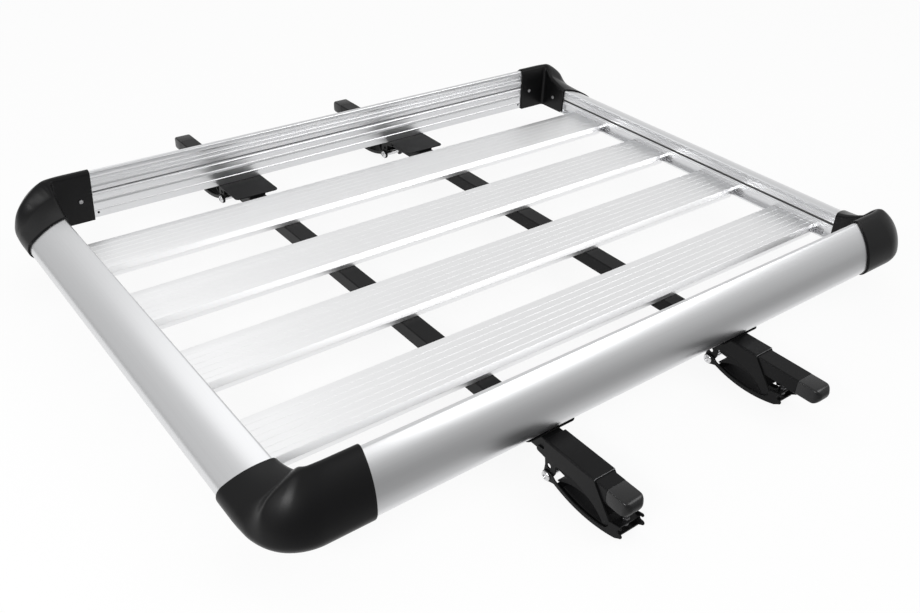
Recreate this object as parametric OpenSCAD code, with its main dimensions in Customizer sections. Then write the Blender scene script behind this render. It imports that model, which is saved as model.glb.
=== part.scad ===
// Cargo basket for a vehicle roof: four aluminium rails joined by moulded corner elbows,
// four slats, and two steel cross bars that stand on clamp feet.
// X runs along the slats, Y along the cross bars, Z up; the floor under the feet is z = 0.

/* [Basket] */
// inside length of the tray between the two side rails
tray_l = 1078; // [800:1:1400]
// inside width of the tray between the front and back rails
tray_w = 822.9; // [600:0.1:1100]
// distance of the middle of the basket from the middle of the cross bars, along Y
tray_y = -39; // [-80:1:80]
// wall thickness of the extruded rails
rail_wall = 1.8; // [1.2:0.1:3]

/* [Front and back rails] */
// height of the front and back rails
tall_h = 84.1; // [60:0.1:120]
// depth of the front and back rails, inner wall to outer skin
tall_w = 41.9; // [25:0.1:60]
// radius of the curved outer skin
tall_skin_r = 96.1; // [60:0.1:160]
// radius of the rounded top edge
tall_bead_r = 4.6; // [3:0.1:10]
// radius of the outer bottom edge
tall_foot_r = 17; // [8:0.5:20]
// height of the upper bead on the inner wall above the rail bottom
bead_hi = 58; // [50:0.5:70]
// height of the lower bead on the inner wall above the rail bottom
bead_lo = 28.5; // [20:0.5:40]
// radius of the two beads
bead_r = 3; // [2:0.5:6]
// how far the beads stand out from the inner wall
bead_out = 2; // [1:0.1:3]
// height of the accessory slot above the rail bottom
tall_slot_z = 47; // [38:0.5:52]
// width of the mouth of that slot
tall_slot_w = 2.6; // [2:0.2:6]
// height of the fine rib under each bead, measured down from the bead
rib_drop = 16; // [10:0.5:18]
// height and reach of the fine ribs
rib = 1; // [0.6:0.1:1.5]
// diameter of the screw hole near each rail end
end_hole_d = 4.2; // [3:0.1:6]
// height of that hole above the rail bottom
end_hole_z = 8.6; // [6:0.2:20]
// distance of that hole from the inner corner of the tray
end_hole_x = 72; // [66:0.5:90]

/* [Side rails] */
// height of the side rails
low_h = 48; // [35:0.2:80]
// width of the side rails, inner wall to outer skin
low_w = 65.4; // [45:0.1:90]
// radius of the broad outer skin
low_skin_r = 115.5; // [60:0.5:140]
// radius of the inner top edge
low_bead_r = 3.4; // [2:0.1:8]
// radius of the outer bottom edge
low_foot_r = 14.8; // [8:0.1:22]
// height of the accessory slot above the rail bottom
low_slot_z = 27.3; // [24:0.1:34]
// width of the mouth of the accessory slots
slot_w = 4; // [2:0.5:8]
// depth of the accessory slots
slot_d = 7; // [3:0.5:12]
// depth of the recess that takes the slat ends
seat_d = 3.4; // [3:0.1:8]
// height of that recess
seat_h = 17; // [12:0.5:20]
// thickness of the bottom flange under the slat ends
seat_t = 2.6; // [2:0.1:4]
// reach of that flange into the tray
seat_flange = 7; // [2:0.5:10]

/* [Slats] */
// width of a slat
slat_w = 92.6; // [60:0.2:130]
// full height of a slat over its edge lips
slat_h = 14.8; // [10:0.2:20]
// spacing of the slats
slat_pitch = 175.9; // [140:0.1:220]
// number of slats
slat_n = 4; // [2:1:6]
// height of a slat over its seat in the side rail
slat_end_h = 8.7; // [8:0.1:14]
// thickness of the slat top
slat_t = 2; // [1.2:0.1:3]
// width of the bevel along the front edge of a slat
bevel_w = 6; // [2:0.5:10]
// height of that bevel
bevel_h = 8; // [2:0.5:9]
// spacing of the fine grooves on the top
groove_pitch = 12.5; // [6:0.5:16]
// depth of the fine grooves
groove_d = 0.3; // [0.2:0.1:1]
// length of the angle brackets at the slat ends
angle_l = 16; // [10:1:30]
// thickness of the angle brackets
angle_t = 1.8; // [1:0.1:3]

/* [Corner elbows] */
// length of an elbow wing along a front or back rail, from the inner corner to its rim
tall_wing = 66; // [50:0.5:100]
// how much further the top of that rim stands out than its foot
tall_rake = 4; // [0:0.5:8]
// length of an elbow wing along a side rail, at the inner wall
low_wing = 67.5; // [50:0.5:100]
// how much longer that wing is at its outer edge
low_rake = 15; // [0:0.5:24]
// thickness of the elbow sleeve outside the rail skin
sleeve = 3; // [2:0.1:4]
// thickness of the elbow sleeve inside the rail wall
sleeve_in = 3.4; // [2.4:0.1:5]
// thickness of the elbow under the rails
under = 1.8; // [1:0.1:3]
// radius of the inner corner of an elbow
elbow_r = 5.5; // [3:0.5:20]
// reach of the outer curve of an elbow along the front or back rail
turn_x = 68; // [40:1:100]
// reach of that curve along the side rail
turn_y = 65; // [40:1:100]
// length of rail held in an elbow
rail_grip = 10; // [6:1:12]
// diameter of the elbow screw heads
screw_d = 7; // [5:0.5:10]
// height of the elbow screw in a tall wing above the rail bottom
screw_hi = 37.1; // [20:0.1:60]
// height of the elbow screw in a low wing above the rail bottom
screw_lo = 24.5; // [10:0.1:34]
// distance of the screw in a tall wing from the inner corner
screw_x = 45.5; // [30:0.5:54]
// distance of the screw in a low wing from the inner corner
screw_y = 37; // [30:0.5:54]
// wall thickness of an elbow
elbow_wall = 3; // [2:0.1:3]
// share of the sweep at which the tall section starts to turn into the low one
blend_from = 0.46; // [0.3:0.01:0.5]
// share of the sweep at which it has done so
blend_to = 0.64; // [0.6:0.01:0.9]
// share of the sweep at which the top edge starts to sink
sink_from = 0.4; // [0.2:0.01:0.5]
// how quickly it sinks
sink_pow = 1.5; // [1:0.1:3]
// how quickly the raised top falls off toward the outer edge
crown = 0.6; // [0.4:0.1:2]
// rings along the sweep of an elbow
elbow_rings = 22; // [16:1:30]

/* [Cross bars] */
// reach of the cross bars past the outermost clamp bolt
bar_reach = 132; // [115:1:200]
// width of a cross bar
bar_w = 32; // [20:0.5:50]
// height of a cross bar
bar_h = 23; // [15:0.5:40]
// wall thickness of a cross bar
bar_wall = 1.5; // [1:0.1:3]
// position of the left cross bar along X
bar_x_left = -205; // [-400:1:-100]
// position of the right cross bar along X
bar_x_right = 167; // [100:0.1:400]
// visible length of an end cap
cap_l = 36; // [15:1:60]
// radius of the end cap nose seen from the side
nose_r = 11; // [4:0.5:11.9]

/* [Mounting plates] */
// length of a mounting plate along the rail
plate_l = 84; // [50:1:120]
// width of a mounting plate across the rail
plate_w = 104; // [80:1:130]
// thickness of a mounting plate
plate_t = 1.6; // [1:0.1:4]
// reach of a plate outside the inner wall of the rail
plate_out = 35.5; // [20:0.5:45]
// length of the spacer between plate and bar
spacer_l = 36; // [15:1:60]

/* [Clamp feet] */
// distance of the front left clamp bolt outward from the spacer
clamp_fl = 86; // [20:1:120]
// distance of the front right clamp bolt outward from the spacer
clamp_fr = 36; // [20:1:120]
// distance of the back left clamp bolt outward from the spacer
clamp_bl = 78; // [20:1:120]
// distance of the back right clamp bolt outward from the spacer
clamp_br = 83; // [20:1:120]
// sheet thickness of the clamp bracket
sheet = 2.2; // [1.5:0.1:4]
// clearance between bracket and bar
slide_gap = 0.1; // [0.05:0.05:0.5]
// distance of the bolt below the top of the bar
bolt_drop = 48; // [40:0.5:60]
// length of the bracket top outward from the bolt
top_out = 76; // [60:1:100]
// length of the bracket top inward from the bolt
top_in = 12; // [0:1:30]
// radius of the bracket ear around the bolt
ear_r = 8; // [7:0.5:12]
// height of the spare ear hole above the bolt
spare_z = 15; // [12:0.5:18]
// diameter of the clamp bolt
bolt_d = 8; // [5:0.5:10]
// diameter of the spare ear hole
spare_d = 7; // [4:0.5:10]
// radius of the strap underside
strap_r = 175; // [120:1:240]
// distance of the lowest point of the strap outward from the bolt
strap_y = 73; // [60:1:90]
// depth of the lowest point of the strap below the bolt
strap_drop = 14.5; // [12:0.5:22]
// height of the strap side walls
strap_h = 9; // [6:0.5:12]
// length of the strap outward from the bolt
strap_l = 132; // [110:1:150]
// sheet thickness of the strap
strap_t = 2; // [1.5:0.1:4]
// thickness of the rubber liner in the strap
liner_t = 3; // [1.5:0.1:5]
// distance of the closing bolt outward from the clamp bolt
tie_y = 118; // [116:1:122]
// diameter of the closing bolt
tie_d = 6; // [4:0.5:8]
// height of the bridge that holds the closing bolt, above the clamp bolt
tie_z = 7; // [4:0.5:9]

/* [Hidden] */

eps = 0.1;
fit = 0.3;
// the skin runs this much inside its two end circles, so that the arcs cross cleanly
blend = 0.05;
round_fn = 96;
skin_fn = 240;

// heights above the floor
bolt_z = strap_drop;
bar_top = bolt_z + bolt_drop;
rail_z = bar_top + slide_gap + sheet + 2 * slide_gap + plate_t;
slat_top = rail_z + seat_t + slat_end_h;

tray_front = tray_y - tray_w / 2;
tray_back = tray_y + tray_w / 2;

// outer faces of the spacers, clamp bolts, and the bars that reach past the outermost bolt
spacer_front = tray_front - plate_out + plate_w - spacer_l;
spacer_back = tray_back + plate_out - plate_w + spacer_l;
clamp_fl_y = spacer_front - clamp_fl;
clamp_fr_y = spacer_front - clamp_fr;
clamp_bl_y = spacer_back + clamp_bl;
clamp_br_y = spacer_back + clamp_br;
bar_l = 2 * (bar_reach + max(-clamp_fl_y, -clamp_fr_y, clamp_bl_y, clamp_br_y));

// rail section: skin centre, top bead centre, foot centre
tall_c = [tall_w - tall_skin_r, tall_h - tall_bead_r
  - sqrt(pow(tall_skin_r - tall_bead_r, 2) - pow(tall_bead_r - tall_w + tall_skin_r, 2))];
tall_b = [tall_bead_r, tall_h - tall_bead_r];
tall_f = foot(tall_c, tall_skin_r, tall_foot_r);
low_b = [low_bead_r, low_h - low_bead_r];
low_f = [low_w - low_foot_r, low_foot_r];
low_c = between(low_b, low_skin_r - low_bead_r, low_f, low_skin_r - low_foot_r);

function foot(c, big, small) =
  [c[0] + sqrt(pow(big - small, 2) - pow(c[1] - small, 2)), small];
function unit(v) = v / norm(v);
// point at the distances ra and rb from a and b, below the line between them
function between(a, ra, b, rb) = let(d = norm(b - a), u = (b - a) / d,
    m = (ra * ra - rb * rb + d * d) / (2 * d), q = sqrt(ra * ra - m * m))
  a + m * u + q * [u[1], -u[0]];
function turn(v) = atan2(v[1], v[0]);

// outline of a rail section, drawn inward by inset
module outline(c, big, b, rb, f, rf, inset) {
  reach = 60;
  intersection() {
    translate(c) circle(r = big - inset - blend, $fn = skin_fn);
    polygon([[inset, inset], [inset, b[1]], b, b + reach * unit(b - c),
      [f[0] + 2 * reach, b[1] + reach], f + reach * unit(f - c), f, [f[0], inset]]);
  }
  translate(b) circle(r = rb - inset, $fn = round_fn);
  translate(f) circle(r = rf - inset, $fn = round_fn);
}

module tall_outline(inset = 0) {
  outline(tall_c, tall_skin_r, tall_b, tall_bead_r, tall_f, tall_foot_r, inset);
}

module low_outline(inset = 0) {
  outline(low_c, low_skin_r, low_b, low_bead_r, low_f, low_foot_r, inset);
}

// T-shaped accessory slot, mouth at the inner wall
module slot(z, mouth, grow = 0) {
  neck = 2.4;
  lead = 5;
  translate([-lead - grow, z - mouth / 2 - grow])
    square([lead + neck + 2 * grow, mouth + 2 * grow]);
  translate([neck - grow, z - slot_w - grow])
    square([slot_d - neck + 2 * grow, 2 * slot_w + 2 * grow]);
}

module slot_walls(z, mouth) {
  intersection() {
    slot(z, mouth, rail_wall);
    translate([0, z - 2 * slot_d]) square([slot_d + 2 * rail_wall, 4 * slot_d]);
  }
}

module beads(grow = 0) {
  for (z = [bead_hi, bead_lo])
    intersection() {
      translate([bead_r - bead_out, z]) circle(r = bead_r + grow, $fn = round_fn);
      translate([-bead_r, z - bead_r - grow])
        square([bead_r + rail_wall, 2 * bead_r + 2 * grow]);
    }
  for (z = [bead_hi, bead_lo])
    translate([-rib, z - rib_drop - rib]) square([rib + rail_wall, 2 * rib]);
}

module tall_section() {
  difference() {
    union() {
      difference() {
        tall_outline();
        tall_outline(rail_wall);
      }
      beads();
      slot_walls(tall_slot_z, tall_slot_w);
    }
    slot(tall_slot_z, tall_slot_w);
  }
}

module low_section() {
  ledge = 1.2;
  difference() {
    union() {
      difference() {
        low_outline();
        low_outline(rail_wall);
      }
      slot_walls(low_slot_z, slot_w);
      translate([-ledge, seat_t + seat_h]) square([seat_d + rail_wall + ledge, rail_wall + ledge]);
      translate([seat_d, 0]) square([rail_wall, seat_t + seat_h + eps]);
      translate([-seat_flange, 0]) square([seat_flange + seat_d + eps, seat_t]);
    }
    slot(low_slot_z, slot_w);
    translate([-2 * seat_flange, seat_t]) square([2 * seat_flange + seat_d, seat_h]);
  }
}

module tall_rail() {
  l = tray_l - 2 * (tall_wing - rail_grip);
  difference() {
    rotate([90, 0, -90]) linear_extrude(l, center = true) tall_section();
    rail_ends(l, rail_grip, tall_rake);
    for (s = [-1, 1])
      translate([s * (tray_l / 2 - end_hole_x), 0, end_hole_z])
        rotate([90, 0, 0]) cylinder(d = end_hole_d, h = 4 * rail_wall, center = true, $fn = 32);
  }
}

module low_rail() {
  l = tray_w - 2 * (low_wing - rail_grip);
  difference() {
    rotate([90, 0, -90]) linear_extrude(l, center = true) low_section();
    rail_ends(l, rail_grip + low_rake * sleeve_in / low_w, 0);
  }
}

// trims what stands out of the inner wall where the elbows grip the rail
module rail_ends(l, grip, lean) {
  past = 1;
  for (s = [0, 1])
    mirror([s, 0, 0]) translate([0, tall_w, 0]) rotate([90, 0, 0]) linear_extrude(tall_w)
      polygon([[l / 2 + past, -past], [l / 2 - grip + lean / 2 - fit, -past],
        [l / 2 - grip - lean / 2 - fit, tall_h + past], [l / 2 + past, tall_h + past]]);
}

module rail_front() {
  color("silver") translate([0, tray_front, rail_z]) tall_rail();
}

module rail_back() {
  color("silver") translate([0, tray_back, rail_z]) rotate(180) tall_rail();
}

module rail_left() {
  color("silver") translate([-tray_l / 2, tray_y, rail_z]) rotate(-90) low_rail();
}

module rail_right() {
  color("silver") translate([tray_l / 2, tray_y, rail_z]) rotate(90) low_rail();
}

// moulded elbow: a tall narrow section swept into a low broad one round the corner

arc_n = 8;
skin_n = 14;

function arc(c, r, a0, a1, n) = [for (i = [0:n]) c + r * [cos(a0 + (a1 - a0) * i / n),
  sin(a0 + (a1 - a0) * i / n)]];
function sleeve_line(c, big, b, rb, f, rf, out, inn) = let(ab = turn(b - c), af = turn(f - c))
  concat([for (i = [0:5]) [-inn, -out + (b[1] + out) * i / 6]],
    arc(b + [out - inn, 0], rb + out, 180, ab, arc_n),
    [for (i = [1:skin_n]) arc(c, big + out, ab, af, skin_n)[i]],
    [for (i = [1:arc_n]) arc(f, rf + out, af, -90, arc_n)[i]]);
function tall_line(out, inn) =
  sleeve_line(tall_c, tall_skin_r, tall_b, tall_bead_r, tall_f, tall_foot_r, out, inn);
function low_line(out, inn) =
  sleeve_line(low_c, low_skin_r, low_b, low_bead_r, low_f, low_foot_r, out, inn);

function ease(t) = let(x = min(1, max(0, t))) x * x * (3 - 2 * x);

// distance along a straight, a turn and a straight; share 0.5 is the middle of the turn
function along(u, s1, mid, s2) = u < 0.5 ? 2 * u * (s1 + mid / 2)
  : s1 + mid / 2 + (2 * u - 1) * (s2 + mid / 2);
function inner_at(u, w) = let(c = sleeve_in + elbow_r, r = elbow_r + w, mid = r * PI / 2,
    s1 = tall_wing - c, d = along(u, s1, mid, low_wing - c))
  d < s1 ? [tall_wing - d, c - r]
  : d > s1 + mid ? [c - r, c + d - s1 - mid]
  : let(a = (d - s1) / r * 180 / PI) [c - r * sin(a), c - r * cos(a)];
function outer_at(u, w) = let(x = low_w + sleeve - w, y = tall_w + sleeve - w,
    rx = turn_x - w, ry = turn_y - w, mid = PI / 4 * (rx + ry), s1 = tall_wing + x - rx,
    d = along(u, s1, mid, low_wing + low_rake + y - ry))
  d < s1 ? [tall_wing - d, -y]
  : d > s1 + mid ? [-x, ry - y + d - s1 - mid]
  : let(a = (d - s1) / mid * 90) [rx - x - rx * sin(a), ry - y - ry * cos(a)];

// one ring of the sweep, at share u, drawn inward by w
function elbow_ring(u, w) = let(s = ease((u - blend_from) / (blend_to - blend_from)),
    out = sleeve - w, inn = sleeve_in - w, t = tall_line(out, inn), l = low_line(out, inn),
    i = inner_at(u, w), o = outer_at(u, w), lean = tall_rake * max(0, 1 - 2 * u),
    fall = pow(1 - max(0, (u - sink_from) / (1 - sink_from)), sink_pow))
  [for (k = [0:len(t) - 1])
    let(qt = (t[k][0] + inn) / (tall_w + out + inn), ql = (l[k][0] + inn) / (low_w + out + inn),
      lift = 1 + (tall_h / low_h - 1) * fall * pow(max(0, 1 - ql), crown),
      z = (1 - s) * t[k][1] + s * l[k][1] * (l[k][1] > 0 ? lift : 1),
      h = z < 0 ? z * under / sleeve : z, p = i + (o - i) * ((1 - s) * qt + s * ql))
    [p[0] + lean * (h / tall_h - 0.5), p[1], h]];
// rings of the sockets that take the rails
function tall_ring(x, lean) = [for (p = tall_line(fit, fit))
  [x + lean * (p[1] / tall_h - 0.5), -p[0], p[1]]];
function low_ring(y, rake) = [for (p = low_line(fit, fit))
  [-p[0], y + rake * (p[0] + sleeve_in) / (low_w + sleeve + sleeve_in), p[1]]];

// hollow moulding: outer skin, inner skin with straight sockets for the rails, and two rims
module elbow() {
  outside = [for (j = [0:elbow_rings]) elbow_ring(j / elbow_rings, 0)];
  inside = concat([tall_ring(tall_wing, tall_rake), tall_ring(tall_wing - rail_grip, 0)],
    [for (j = [3:elbow_rings - 3]) elbow_ring(j / elbow_rings, elbow_wall)],
    [low_ring(low_wing - rail_grip, 0), low_ring(low_wing, low_rake)]);
  n = len(outside[0]);
  r = len(outside) - 1;
  h = len(inside) - 1;
  base = (r + 1) * n;
  last = base + h * n;
  color("dimgray") polyhedron(
    points = [for (ring = concat(outside, inside)) each ring],
    faces = [for (k = [0:n - 1]) let(m = (k + 1) % n) each concat(
      [for (j = [0:r - 1]) let(a = j * n, b = a + n)
        each [[a + k, a + m, b + k], [a + m, b + m, b + k]]],
      [for (j = [0:h - 1]) let(a = base + j * n, b = a + n)
        each [[a + k, b + k, a + m], [a + m, b + k, b + m]]],
      [[m, k, base + k], [m, base + k, base + m]],
      [[r * n + k, r * n + m, last + k], [r * n + m, last + m, last + k]])]);
}

// place of the screw head in a wing, axis into the elbow
module elbow_screw(a) {
  if (a == 0)
    translate([screw_x, sleeve_in, screw_hi]) rotate([90, 0, 0]) children();
  else
    translate([sleeve_in, screw_y, screw_lo]) rotate([0, -90, 0]) children();
}

module at_corner(sx, sy) {
  translate([sx * tray_l / 2, tray_y + sy * tray_w / 2, rail_z])
    mirror([sx > 0 ? 1 : 0, 0, 0]) mirror([0, sy > 0 ? 1 : 0, 0]) children();
}

module corner_front_left() { at_corner(-1, -1) elbow(); }
module corner_front_right() { at_corner(1, -1) elbow(); }
module corner_back_left() { at_corner(-1, 1) elbow(); }
module corner_back_right() { at_corner(1, 1) elbow(); }

module corner_screws() {
  color("gray") for (sx = [-1, 1], sy = [-1, 1], a = [0, 90])
    at_corner(sx, sy) elbow_screw(a) mirror([0, 0, 1]) difference() {
      cylinder(d = screw_d, h = screw_d / 3, $fn = 48);
      translate([0, 0, screw_d / 6]) cylinder(d = screw_d / 2, h = screw_d, $fn = 6);
    }
}

// slats

module slat_section() {
  w = slat_w / 2;
  rib_y = slat_w / 6;
  rib_low = -slat_end_h + 1;
  half = slat_t / 2;
  edge = 1;
  grooves = 6;
  difference() {
    polygon([[-w, -slat_h], [-w, -bevel_h], [-w + bevel_w, 0], [w - edge, 0],
      [w, -edge], [w, -slat_h], [w - slat_t, -slat_h], [w - slat_t, -slat_t],
      [rib_y + half, -slat_t], [rib_y + half, rib_low], [rib_y - half, rib_low],
      [rib_y - half, -slat_t], [-rib_y + half, -slat_t], [-rib_y + half, rib_low],
      [-rib_y - half, rib_low], [-rib_y - half, -slat_t], [-w + bevel_w + half, -slat_t],
      [-w + slat_t, -bevel_h], [-w + slat_t, -slat_h]]);
    for (i = [0:grooves - 1])
      translate([(i - (grooves - 1) / 2) * groove_pitch, 0])
        square([1, 2 * groove_d], center = true);
  }
}

module slat(i) {
  l = tray_l + 2 * (seat_d - fit);
  y = tray_y + (i - (slat_n - 1) / 2) * slat_pitch;
  notch = slat_h - slat_end_h;
  color("gainsboro") translate([0, y, slat_top]) difference() {
    rotate([90, 0, 90]) linear_extrude(l, center = true) slat_section();
    for (s = [-1, 1])
      translate([s * (l / 2 - seat_d / 2 - seat_flange), 0, -slat_end_h - notch / 2 - eps / 2])
        cube([seat_d + 2 * seat_flange + 2 * fit, slat_w + 1, notch + eps], center = true);
  }
}

module slat_1() { slat(0); }
module slat_2() { slat(1); }
module slat_3() { slat(2); }
module slat_4() { slat(3); }

module slat_angles() {
  h = slat_end_h - 2;
  color("darkgray") for (sx = [-1, 1], i = [0:slat_n - 1]) {
    y = tray_y + (i - (slat_n - 1) / 2) * slat_pitch - slat_w / 2;
    translate([sx * (tray_l / 2 + seat_d), y, rail_z + seat_t])
      mirror([sx > 0 ? 1 : 0, 0, 0]) translate([0, -angle_l, 0]) {
        cube([angle_t, angle_l, h]);
        translate([0, angle_l - angle_t, 0]) cube([angle_l, angle_t, h]);
      }
  }
}

// cross bars with end caps and mounting plates

module crossbar(x) {
  l = bar_l - 2 * cap_l;
  color("black") translate([x, 0, bar_top - bar_h / 2]) difference() {
    cube([bar_w, l, bar_h], center = true);
    cube([bar_w - 2 * bar_wall, l + 2, bar_h - 2 * bar_wall], center = true);
  }
}

module crossbar_left() { crossbar(bar_x_left); }
module crossbar_right() { crossbar(bar_x_right); }

module cap() {
  w = bar_w;
  h = bar_h;
  plug = 18;
  side_r = 9;
  intersection() {
    rotate([90, 0, 90]) linear_extrude(w, center = true) {
      translate([0, -h / 2]) square([cap_l - nose_r, h]);
      for (s = [-1, 1])
        translate([cap_l - nose_r, s * (h / 2 - nose_r)]) circle(r = nose_r, $fn = round_fn);
      translate([0, -h / 2 + nose_r]) square([cap_l, h - 2 * nose_r]);
    }
    linear_extrude(h, center = true) {
      translate([-w / 2, 0]) square([w, cap_l - side_r]);
      for (s = [-1, 1])
        translate([s * (w / 2 - side_r), cap_l - side_r]) circle(r = side_r, $fn = round_fn);
      translate([-w / 2 + side_r, 0]) square([w - 2 * side_r, cap_l]);
    }
  }
  translate([0, -plug / 2, 0]) cube([bar_w - 2 * bar_wall - 2 * slide_gap, plug + eps,
    bar_h - 2 * bar_wall - 2 * slide_gap], center = true);
}

module bar_caps() {
  color("dimgray") for (x = [bar_x_left, bar_x_right], s = [0, 1])
    translate([x, 0, bar_top - bar_h / 2]) mirror([0, s, 0])
      translate([0, bar_l / 2 - cap_l, 0]) cap();
}

module mount_plates() {
  color("black") for (x = [bar_x_left, bar_x_right], s = [-1, 1])
    translate([x, tray_y + s * (tray_w / 2 + plate_out - plate_w / 2), rail_z - plate_t / 2])
      cube([plate_l, plate_w, plate_t], center = true);
}

module spacers() {
  h = rail_z - plate_t - bar_top;
  color("black") for (x = [bar_x_left, bar_x_right], s = [-1, 1])
    translate([x, tray_y + s * (tray_w / 2 + plate_out - plate_w + spacer_l / 2), bar_top + h / 2])
      cube([bar_w, spacer_l, h], center = true);
}

// clamp feet: drawn with the bolt at the origin and outward as +Y

bracket_w = bar_w + 2 * slide_gap + 2 * sheet;
strap_in = bracket_w + 2 * slide_gap;
strap_w = strap_in + 2 * strap_t;
bar_low = bolt_drop - bar_h;
strap_c = [strap_y, strap_r - strap_drop];

module side(w) {
  rotate([90, 0, 90]) linear_extrude(w, center = true) children();
}

module bracket_wall() {
  hook_r = 4;
  hook_y = -21;
  leg_y = top_out + 35;
  difference() {
    union() {
      polygon([[hook_y, bar_low], [hook_y, bar_low + 2 * hook_r], [-top_in, bar_low + 9],
        [-top_in, bolt_drop + eps], [top_out, bolt_drop + eps], [leg_y, 4], [leg_y - 7, -1],
        [leg_y - 13, -4]]);
      translate([hook_y, bar_low + hook_r]) circle(r = hook_r, $fn = 48);
      polygon([[-ear_r, 0], [-ear_r + 1, spare_z], [-ear_r, bar_low + eps],
        [ear_r + 4, bar_low + eps], [ear_r + 6, spare_z - 2], [ear_r, 0]]);
      circle(r = ear_r, $fn = round_fn);
    }
    arch();
    circle(d = bolt_d + 2 * slide_gap, $fn = 48);
    translate([0, spare_z]) circle(d = spare_d, $fn = 48);
  }
}

// open arch between the ear and the outer leg
module arch() {
  arch_r = 91;
  span = [12, top_out + 36];
  intersection() {
    translate([34, bar_low - arch_r]) circle(r = arch_r, $fn = skin_fn);
    translate([span[0], bar_low - span[1]]) square([span[1] - span[0], span[1]]);
  }
}

module bracket() {
  color("black") {
    difference() {
      side(bracket_w) bracket_wall();
      translate([0, top_out / 2, 0]) cube([bar_w + 2 * slide_gap, 4 * top_out, 3 * bolt_drop], center = true);
    }
    translate([-bracket_w / 2, -top_in, bolt_drop + slide_gap])
      cube([bracket_w, top_out + top_in, sheet]);
  }
}

// rubber saddle under the bar
module saddle() {
  end_y = top_out + 14;
  color("dimgray") side(bar_w) difference() {
    polygon([[34, bar_low], [22, 11], [26, 8], [end_y + 8, -2], [end_y, bar_low]]);
    translate([58, -42]) circle(r = 57, $fn = skin_fn);
  }
}

module strap_band(low, high) {
  far = 3 * strap_l;
  difference() {
    translate(strap_c) circle(r = strap_r - low, $fn = skin_fn);
    translate(strap_c) circle(r = strap_r - high, $fn = skin_fn);
    translate([-far, -far / 2]) square([far, 2 * far]);
    translate([strap_l - 4, -far / 2]) square([far, 2 * far]);
    translate([0, strap_l / 2]) square([far, far]);
  }
}

// side wall of the strap: ear at the bolt, curved band, forked outer end
module strap_wall() {
  lobe = 4.2;
  end_y = strap_l - lobe;
  low_lobe = 1;
  high_lobe = 11.5;
  difference() {
    union() {
      strap_band(0, strap_h);
      circle(r = ear_r, $fn = round_fn);
      polygon([[0, -ear_r], [14, -4], [14, 8], [0, ear_r]]);
      polygon([[tie_y - 8, -9], [end_y, low_lobe - lobe], [end_y, high_lobe],
        [tie_y - 8, high_lobe]]);
      translate([end_y, low_lobe]) circle(r = lobe, $fn = 48);
      translate([end_y - 2, high_lobe]) circle(r = lobe, $fn = 48);
    }
    circle(d = bolt_d + 2 * slide_gap, $fn = 48);
    translate([end_y + 3, (low_lobe + high_lobe) / 2]) circle(r = 2.6, $fn = 48);
  }
}

module strap() {
  color("black") {
    difference() {
      side(strap_w) strap_wall();
      translate([0, strap_l / 2, 0]) cube([strap_in, 2 * strap_l, strap_l], center = true);
    }
    side(strap_in + eps) intersection() {
      strap_band(0, strap_t);
      translate([14, -strap_l / 2]) square([strap_l - 20, strap_l]);
    }
    difference() {
      translate([-strap_in / 2 - eps / 2, tie_y - tie_d, tie_z])
        cube([strap_in + eps, 2 * tie_d, strap_t]);
      translate([0, tie_y, 0])
        cylinder(d = tie_d + 2 * slide_gap, h = 4 * tie_z, center = true, $fn = 48);
    }
  }
}

// upright bolt that draws the strap closed
module tie_bolt() {
  nut = tie_d - 1;
  top = tie_z + strap_t + slide_gap;
  color("silver") translate([0, tie_y, 0]) {
    translate([0, 0, tie_z - nut]) cylinder(d = tie_d, h = top + nut + 3 - tie_z + nut, $fn = 48);
    translate([0, 0, tie_z - nut - 1]) cylinder(d = 2 * tie_d, h = nut + 1 - slide_gap, $fn = 48);
    translate([0, 0, top]) cylinder(d = 2 * tie_d, h = nut, $fn = 6);
  }
}

module liner() {
  color("dimgray") side(bar_w - 4) intersection() {
    strap_band(strap_t, strap_t + liner_t);
    translate([24, -strap_l / 2]) square([strap_l / 2, strap_l]);
  }
}

module bolt() {
  head = strap_w / 2;
  color("silver") {
    rotate([0, 90, 0]) cylinder(d = bolt_d, h = strap_w + 12, center = true, $fn = 64);
    translate([-head - 4, 0, 0]) rotate([0, 90, 0])
      cylinder(d = bolt_d + 6, h = 4 - slide_gap, $fn = 64);
    translate([head + slide_gap, 0, 0]) rotate([0, 90, 0])
      cylinder(d = bolt_d + 6, h = 5, $fn = 6);
  }
}

module at_clamp(x, y) {
  translate([x, y, bolt_z]) mirror([0, y < 0 ? 1 : 0, 0]) children();
}

module bracket_front_left() { at_clamp(bar_x_left, clamp_fl_y) bracket(); }
module bracket_front_right() { at_clamp(bar_x_right, clamp_fr_y) bracket(); }
module bracket_back_left() { at_clamp(bar_x_left, clamp_bl_y) bracket(); }
module bracket_back_right() { at_clamp(bar_x_right, clamp_br_y) bracket(); }
module saddle_front_left() { at_clamp(bar_x_left, clamp_fl_y) saddle(); }
module saddle_front_right() { at_clamp(bar_x_right, clamp_fr_y) saddle(); }
module saddle_back_left() { at_clamp(bar_x_left, clamp_bl_y) saddle(); }
module saddle_back_right() { at_clamp(bar_x_right, clamp_br_y) saddle(); }
module strap_front_left() { at_clamp(bar_x_left, clamp_fl_y) strap(); }
module strap_front_right() { at_clamp(bar_x_right, clamp_fr_y) strap(); }
module strap_back_left() { at_clamp(bar_x_left, clamp_bl_y) strap(); }
module strap_back_right() { at_clamp(bar_x_right, clamp_br_y) strap(); }
module liner_front_left() { at_clamp(bar_x_left, clamp_fl_y) liner(); }
module liner_front_right() { at_clamp(bar_x_right, clamp_fr_y) liner(); }
module liner_back_left() { at_clamp(bar_x_left, clamp_bl_y) liner(); }
module liner_back_right() { at_clamp(bar_x_right, clamp_br_y) liner(); }
module bolt_front_left() { at_clamp(bar_x_left, clamp_fl_y) bolt(); }
module bolt_front_right() { at_clamp(bar_x_right, clamp_fr_y) bolt(); }
module bolt_back_left() { at_clamp(bar_x_left, clamp_bl_y) bolt(); }
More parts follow.
